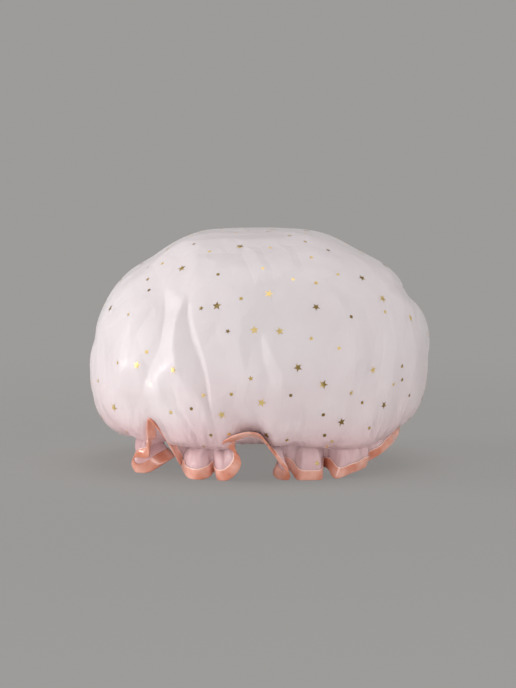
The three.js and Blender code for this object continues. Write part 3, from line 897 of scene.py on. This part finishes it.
def foil_material():
    name, colour = "gold_foil", (0.7, 0.52, 0.2)
    material, tree, shader = new_material(name, colour, 0.42, {"Metallic": 0.7})
    cloud = noise(tree, 70, object_coordinates(tree))
    finish(tree, shader, cloudy(tree, cloud, (0.3, 0.2, 0.06), (0.98, 0.74, 0.3), 0.42, 0.6))
    return material


def thread_material():
    material, tree, shader = new_material("sewing_thread", (0.85, 0.42, 0.31), 0.6)
    cloud = noise(tree, 500, object_coordinates(tree))
    finish(tree, shader, cloudy(tree, cloud, (0.8, 0.38, 0.28), (0.9, 0.48, 0.36)))
    return material


SEEN_GROUND = (0.34, 0.331, 0.322)  # what the camera sees of the ground far from the object
FLOOR_COLOUR = (0.34, 0.332, 0.322)
FLOOR_SHADE = 0.985
FLOOR_BOUNCE = (0.85, 0.84, 0.83)  # the studio's pale paper lights the cap from below
FAR_GROUND = (0.25, 0.9)  # the floor turns into the plain ground over this way, in metres
NEAR_GROUND_SHARE = 0.62  # it is that much of the plain ground already near the cap
WORLD_LIGHT = 0.46
WORLD_COLOUR = (1.0, 0.99, 0.98, 1)


def seen_rays(tree):
    """1 for what the camera sees straight, in a gloss or through glass, and 0 for light."""
    path = add(tree, "LightPath", {})
    value = path.outputs["Is Camera Ray"]
    for name in ("Is Glossy Ray", "Is Transmission Ray"):
        value = calculate(tree, "MAXIMUM", value, path.outputs[name])
    return value


def floor_material():
    """A lit floor round the object that turns into the plain ground further out."""
    name, more = "studio_floor", {"Specular IOR Level": 0.1}
    material, tree, shader = new_material(name, FLOOR_COLOUR, 0.95, more)
    place = object_coordinates(tree)
    darker = tuple(value * FLOOR_SHADE for value in FLOOR_COLOUR)
    colour = cloudy(tree, noise(tree, 1.5, place), darker, FLOOR_COLOUR)
    seen = seen_rays(tree)
    finish(tree, shader, blend(tree, seen, (*FLOOR_BOUNCE, 1), colour))
    distance = add(tree, "VectorMath", {0: place}, operation="LENGTH").outputs["Value"]
    far = map_range(tree, distance, *FAR_GROUND, NEAR_GROUND_SHARE, kind="SMOOTHSTEP")
    plain = add(tree, "Emission", {"Color": (*SEEN_GROUND, 1)}).outputs["Emission"]
    share = calculate(tree, "MULTIPLY", far, seen)
    surface = mix_shaders(tree, share, shader.outputs["BSDF"], plain)
    put(tree, surface, tree.nodes["Material Output"].inputs["Surface"])
    return material


def dress(piece, material, slot, *nodes):
    piece.data.materials.append(material)
    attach(piece, "root")
    if nodes:
        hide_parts(*nodes)
    return piece


# The sheets

OUTER_GAP = 0.3
LINING_GAP = -0.3
SLACK = 2.4  # the lining lies this far inside the sheer sheet, and more low down at the sides
SIDE_SLACK = 3.5
TOP_RISE = 0.02  # from the first row of a sheet to the point that closes it


def lining_grid():
    """The lining's places: slack inside the crown, and close to the sheer sheet at the casing."""
    count = len(crown)
    way = (np.arange(count)[:, None] + 0.5) / count
    side = np.abs(np.sin(np.arctan2(crown[..., 0], -crown[..., 1]))) ** 2
    slack = SLACK + SIDE_SLACK * side * smooth(way, 0.4, 0.65)
    slack = slack * (1 - smooth(way, 0.78, 0.97))
    points = meeting + normals * LINING_GAP
    points[:count] -= crown_outward * slack[..., None]
    return points


outer_points = meeting + normals * OUTER_GAP
outer_sheet = sheet_mesh("outer_sheet_sheer", outer_points)
dress(outer_sheet, film_material(), "printed_sheet", "outer_sheet")

lining = sheet_mesh("lining_film", lining_grid())
dress(lining, lining_material(), "lining_film", "waterproof_lining")


# The ribbon over the edge

hem_steps = np.linalg.norm(np.diff(ruffle, axis=0), axis=2)
from_hem = np.vstack([np.cumsum(hem_steps[::-1], axis=0)[::-1], np.zeros((1, COLUMNS))])
ruffle_normals = normals[-RUFFLE_ROWS:]


def up_from_hem(grid, distance):
    """The places of a grid over the ruffle that lie this far up from the hem."""
    row = np.clip((from_hem > distance).sum(axis=0) - 1, 0, RUFFLE_ROWS - 2)
    column = np.arange(COLUMNS)
    here, after = from_hem[row, column], from_hem[row + 1, column]
    part = np.clip((here - distance) / np.maximum(here - after, 1e-6), 0, 1)[:, None]
    return grid[row, column] * (1 - part) + grid[row + 1, column] * part


def off_ruffle(distance, gap):
    """The places this far up from the hem and this far off the ruffle's outside."""
    return up_from_hem(ruffle, distance) + unit(up_from_hem(ruffle_normals, distance)) * gap


RIBBON_GAP = 0.5  # from the middle of both sheets to the ribbon's inside
EDGE_ROOM = 0.9  # from the sheets' cut edge to the ribbon's fold
LEG_SHARES = (1.0, 0.97, 0.86, 0.7, 0.54, 0.38, 0.22, 0.1, 0.0)


def ribbon_sections():
    """The ribbon's sections: its inner face from the outside leg to the inside one, and back."""
    fall = unit(ruffle[-1] - ruffle[-3])
    edge_normal = ruffle_normals[-1]
    inside, outside = RIBBON_GAP, RIBBON_GAP + RIBBON_THICKNESS

    def leg(gap, shares):
        return [off_ruffle(share * RIBBON_WIDTH, gap) for share in shares]

    def fold(gap, room, turns):
        return [
            ruffle[-1]
            + edge_normal * gap * math.cos(math.radians(turn))
            + fall * (room * math.sin(math.radians(turn)))
            for turn in turns
        ]

    corners = leg(inside, LEG_SHARES)
    corners += fold(inside, EDGE_ROOM, (45, 90, 135))
    corners += leg(-inside, LEG_SHARES[::-1])
    corners += leg(-outside, LEG_SHARES)
    corners += fold(outside, EDGE_ROOM + RIBBON_THICKNESS, (150, 120, 90, 60, 30))
    corners += leg(outside, LEG_SHARES[::-1])
    return np.stack(corners, axis=1)


def add_ribbon_map(piece, sections):
    """A flat map in metres: along the ribbon, then round its section."""
    around, corners = sections.shape[:2]
    step = np.linalg.norm(np.roll(sections, -1, axis=1) - sections, axis=2).mean(axis=0)
    across = np.concatenate([[0], np.cumsum(step)]) * MM
    along = np.arange(around + 1) / around * HEM_LENGTH * MM
    places = piece.data.uv_layers.new(name="ribbon").data
    flat = np.empty((around, corners, 4, 2))
    flat[:, :, 0, 0] = flat[:, :, 3, 0] = along[:-1, None]
    flat[:, :, 1, 0] = flat[:, :, 2, 0] = along[1:, None]
    flat[:, :, 0, 1] = flat[:, :, 1, 1] = across[None, :-1]
    flat[:, :, 2, 1] = flat[:, :, 3, 1] = across[None, 1:]
    places.foreach_set("uv", flat.ravel())


sections = ribbon_sections()
sections[..., 2] = np.maximum(sections[..., 2], 0)
ribbon = loop_mesh("hem_ribbon", sections)
add_ribbon_map(ribbon, sections)
dress(ribbon, ribbon_material(), "satin_ribbon", "hem_binding")


# The stitches that hold the ribbon

STITCH_PITCH = 3.0
STITCH_LENGTH = 2.3
STITCH_INSET = 1.4
THREAD_RADIUS = 0.17
THREAD_SIDES = 6
# Along each stitch: places as shares of its length, then girths and rises as shares of the radius
STITCH_SHARES = (-0.5, -0.3, 0, 0.3, 0.5)
GIRTH_SHARES = (0.35, 0.9, 1, 0.9, 0.35)
RISE_SHARES = (-0.2, 0.4, 0.75, 0.4, -0.2)


def stitch_line(name, line, side):
    """Stitches along a closed line, each a short thread that dips at both ends."""
    line, length = closed_line(line)
    count = int(length[-1] / STITCH_PITCH)
    centres = (np.arange(count) + 0.5) / count * length[-1]
    up = at_lengths(centres, length, np.vstack([side, side[:1]]))
    step = at_lengths(centres + 0.3, length, line) - at_lengths(centres - 0.3, length, line)
    across = unit(np.cross(unit(step), up))
    rings = []
    for part, girth, rise in zip(STITCH_SHARES, GIRTH_SHARES, RISE_SHARES):
        middle = at_lengths(centres + part * STITCH_LENGTH, length, line)
        middle = middle + up * THREAD_RADIUS * rise
        for number in range(THREAD_SIDES):
            turn = number / THREAD_SIDES * TURN
            spoke = across * math.cos(turn) + up * math.sin(turn)
            rings.append(middle + spoke * THREAD_RADIUS * girth)
    points = np.stack(rings, axis=1)
    index = np.arange(count * len(rings)).reshape(count, len(STITCH_SHARES), THREAD_SIDES)
    faces = []
    for stitch in index:
        ahead = np.roll(stitch, -1, axis=1)
        quads = np.stack([stitch[:-1], ahead[:-1], ahead[1:], stitch[1:]], axis=-1)
        faces += quads.reshape(-1, 4).tolist()
        faces += [stitch[0, ::-1].tolist(), stitch[-1].tolist()]
    return new_mesh(name, points.reshape(-1, 3), faces)


def stitches():
    material = thread_material()
    place = RIBBON_WIDTH - STITCH_INSET
    gap = RIBBON_GAP + RIBBON_THICKNESS + THREAD_RADIUS * 0.3
    for name, sign in (("hem_stitches_outside", 1), ("hem_stitches_inside", -1)):
        side = unit(up_from_hem(ruffle_normals, place)) * sign
        dress(stitch_line(name, off_ruffle(place, gap * sign), side), material, "thread")


stitches()


# The elastic

ELASTIC_STEPS = 720
RIBS = 6
RIB_HEIGHT = 0.12


def elastic_sections():
    """Sections of a band that is ribbed on both faces."""
    angle = np.arange(ELASTIC_STEPS) / ELASTIC_STEPS * TURN
    across = np.linspace(-0.5, 0.5, 4 * RIBS + 1)
    ridge = RIB_HEIGHT * np.abs(np.sin(across * RIBS * math.pi))
    outer = ELASTIC_RADIUS - ELASTIC_SEAT - RIB_HEIGHT + ridge
    inner = ELASTIC_RADIUS - ELASTIC_SEAT - ELASTIC_THICKNESS + RIB_HEIGHT - ridge
    places = [*zip(across, outer), *zip(across[::-1], inner[::-1])]
    corners = [
        polar(angle, radius, elastic_height(angle) + share * ELASTIC_WIDTH, MOUTH_SHIFT)
        for share, radius in places
    ]
    return np.stack(corners, axis=1)


elastic = loop_mesh("elastic_ribbed", elastic_sections())
dress(elastic, elastic_material(), "elastic", "elastic_band")


# The foil print

STAR_SIZE = 7.2
SMALL_STAR_SIZE = 4.8
DOT_SIZE = 2.9
FOIL_THICKNESS = 0.07
FOIL_GAP = 0.03
FOIL_ROOM = 20.0  # the least distance between two prints where the photograph shows none
LONE_STARS, LONE_SMALL_STARS = 0.3, 0.42  # of those prints, stars and small stars up to these shares
LONE_TRIES = 2600
LOWEST_PRINT = 14.0
# The photograph shows the sheet where it faces the camera by more than this and lies before this
SEEN_FACING = 0.12
SEEN_DEPTH = 20.0
STAR_OUTLINE = [0.5, 0.21] * 5
DOT_OUTLINE = [0.5] * 12

# Prints that the photograph shows, in the picture's plane: right of the middle, up from the ground
FRONT_STARS = (
    (-63, 160), (-15, 178), (9, 139), (48, 128), (-3, 109), (-34, 129), (-100, 80), (-70, 76),
    (-119, 45), (3, 49), (-30, 39), (33, 78), (54, 64), (95, 76), (69, 33), (7, 22), (104, 47),
    (86, 152), (103, 135), (126, 119), (18, 108), (-122, 127),
)
FRONT_SMALL_STARS = ((-47, 127), (-25, 108), (-45, 55), (-6, 69), (49, -1), (77, 57), (61, 17))
FRONT_DOTS = (
    (27, 55), (119, 68), (86, 49), (55, 22), (92, 28), (54, 39), (-22, 56), (-55, 44), (-33, 155),
    (-40, 174), (4, 160), (10, 177), (29, 151), (48, 148), (44, 169), (26, 187), (39, 182),
    (58, 175), (66, 155), (-14, 135), (-53, 180), (-79, 164), (-91, 151), (-90, 142), (-107, 122),
    (77, 120), (105, 124), (119, 79), (112, 64), (125, 55), (-89, 64), (-116, 82), (-92, 91),
    (-132, 67), (-72, 41), (-39, 22), (-108, 25), (-24, 23), (-45, 13), (24, 18), (57, 13),
    (67, 94), (44, 102),
)


def outline(radii):
    return [
        (radius * math.sin(number * TURN / len(radii)), radius * math.cos(number * TURN / len(radii)))
        for number, radius in enumerate(radii)
    ]


def camera_ray(across, up):
    """Where the camera stands, and the way to a place in the picture's plane."""
    eye = AIM + np.array([0, -LEVEL, STEEP]) * CAMERA_DISTANCE / MM
    place = AIM + np.array([across, 0, 0]) + np.array([0, STEEP, LEVEL]) * (up - AIM[2] * LEVEL)
    return Vector(eye), Vector(place - eye).normalized()


def foil_places(tree):
    """Each print's place on the sheet with the way the sheet faces there, its outline and size."""
    random = np.random.default_rng(21)
    star, dot = outline(STAR_OUTLINE), outline(DOT_OUTLINE)
    groups = (
        (FRONT_STARS, star, STAR_SIZE),
        (FRONT_SMALL_STARS, star, SMALL_STAR_SIZE),
        (FRONT_DOTS, dot, DOT_SIZE),
    )
    prints = []
    for places, shape, size in groups:
        for across, up in places:
            place, normal, _, _ = tree.ray_cast(*camera_ray(across, up))
            if place:
                prints.append((place, normal, shape, size * random.uniform(0.92, 1.08)))
    centre = Vector((MOUTH_SHIFT / 2, 0, FULLEST_HEIGHT))
    eye, _ = camera_ray(0, 0)
    for _ in range(LONE_TRIES):
        outward = random.normal(0, 1, 3)
        outward /= np.linalg.norm(outward)
        place, normal, _, _ = tree.ray_cast(centre + Vector(outward) * 400, -Vector(outward))
        if not place or place[2] < LOWEST_PRINT:
            continue
        if normal.dot((eye - place).normalized()) > SEEN_FACING and place[1] < SEEN_DEPTH:
            continue
        if any((place - other[0]).length < FOIL_ROOM for other in prints):
            continue
        share = random.uniform()
        if share < LONE_STARS:
            prints.append((place, normal, star, STAR_SIZE * random.uniform(0.92, 1.06)))
        elif share < LONE_SMALL_STARS:
            prints.append((place, normal, star, SMALL_STAR_SIZE))
        else:
            prints.append((place, normal, dot, DOT_SIZE * random.uniform(0.8, 1.2)))
    return prints


def foil_print():
    """Thin stars and dots that follow the sheer sheet."""
    index = np.arange(outer_points.shape[0] * COLUMNS).reshape(-1, COLUMNS)
    tree = BVHTree.FromPolygons(outer_points.reshape(-1, 3).tolist(), grid_faces(index))
    random = np.random.default_rng(33)
    points, faces = [], []
    for place, normal, shape, size in foil_places(tree):
        turn = random.uniform(0, TURN)
        away = (place - Vector((MOUTH_SHIFT, 0, FULLEST_HEIGHT))).normalized()
        if normal.dot(away) < 0 and place[2] > ELASTIC_HEIGHT:
            normal = -normal
        side = normal.orthogonal().normalized()
        other = normal.cross(side)
        first = len(points)
        corners = [(0.0, 0.0)] + [
            (x * math.cos(turn) - y * math.sin(turn), x * math.sin(turn) + y * math.cos(turn))
            for x, y in shape
        ]
        for gap in (FOIL_GAP, FOIL_GAP + FOIL_THICKNESS):
            for x, y in corners:
                flat = place + side * x * size + other * y * size
                on_sheet, facing, _, _ = tree.find_nearest(flat)
                if facing.dot(normal) < 0:
                    facing = -facing
                points.append(on_sheet + facing * gap)
        count = len(corners)
        for number in range(1, count):
            after = number % (count - 1) + 1
            low, low_after = first + number, first + after
            high, high_after = low + count, low_after + count
            faces.append((first, low, low_after))
            faces.append((first + count, high_after, high))
            faces.append((low, high, high_after, low_after))
    piece = new_mesh("foil_stars_and_dots", np.array(points), faces, smooth_faces=False)
    return dress(piece, foil_material(), "foil_print")


foil_print()


# Stage, lights and camera

FLOOR_RINGS = (0.4, 1.2, 3.0, 7.0, 14.0)  # in metres
FLOOR_SIDES = 96


def studio():
    """A round plain floor that runs far out."""
    turn = np.arange(FLOOR_SIDES) / FLOOR_SIDES * TURN
    rings = [polar(turn, radius, 0.0) for radius in FLOOR_RINGS]
    points = np.vstack([np.zeros((1, 3)), *rings])
    index = 1 + np.arange(len(points) - 1).reshape(-1, FLOOR_SIDES)
    faces = [(0, 1 + number, 1 + (number + 1) % FLOOR_SIDES) for number in range(FLOOR_SIDES)]
    floor = new_mesh("studio_floor", points / MM, faces + grid_faces(index))
    floor.data.materials.append(floor_material())


def area_light(name, place, aim, size, power):
    data = bpy.data.lights.new(name, "AREA")
    data.shape = "RECTANGLE"
    data.size, data.size_y = size
    data.energy = power
    light = bpy.data.objects.new(name, data)
    light.location = place
    direction = Vector(aim) - Vector(place)
    light.rotation_euler = direction.to_track_quat("-Z", "Y").to_euler()
    bpy.context.scene.collection.objects.link(light)


def lights():
    # name, place, aim and size in metres, power in watts
    area_light("key", (-2.5, 0.1, 1.1), (0, 0, 0.1), (1.2, 1.2), 19)
    area_light("low_key", (-2.5, -0.45, 0.13), (0, 0, 0.03), (0.5, 0.24), 26)
    area_light("fill", (2.2, -1.3, 0.5), (0, 0, 0.1), (1.6, 0.8), 12)
    area_light("front", (-0.3, -2.7, 0.14), (0, 0, 0.02), (1.2, 0.24), 16)
    area_light("top", (0.2, 0.1, 2.0), (0, 0, 0.1), (1.2, 1.2), 12)
    world = bpy.data.worlds.new("studio")
    bpy.context.scene.world = world
    world.use_nodes = True
    tree = world.node_tree
    light = tree.nodes["Background"]
    light.inputs["Color"].default_value = WORLD_COLOUR
    light.inputs["Strength"].default_value = WORLD_LIGHT
    plain = add(tree, "Background", {"Color": (*SEEN_GROUND, 1)}).outputs["Background"]
    surface = mix_shaders(tree, seen_rays(tree), light.outputs["Background"], plain)
    put(tree, surface, tree.nodes["World Output"].inputs["Surface"])


def camera():
    data = bpy.data.cameras.new("camera")
    data.sensor_fit = "HORIZONTAL"
    data.sensor_width = 36
    data.lens = data.sensor_width * CAMERA_DISTANCE / (IMAGE_WIDTH * PIXEL * MM)
    data.clip_end = 30
    view = bpy.data.objects.new("camera", data)
    back = Vector((0, -LEVEL, STEEP))
    view.location = CAMERA_AIM + back * CAMERA_DISTANCE
    view.rotation_euler = (-back).to_track_quat("-Z", "Y").to_euler()
    bpy.context.scene.collection.objects.link(view)
    bpy.context.scene.camera = view
    bpy.context.scene.view_settings.view_transform = "Standard"


studio()
lights()
camera()
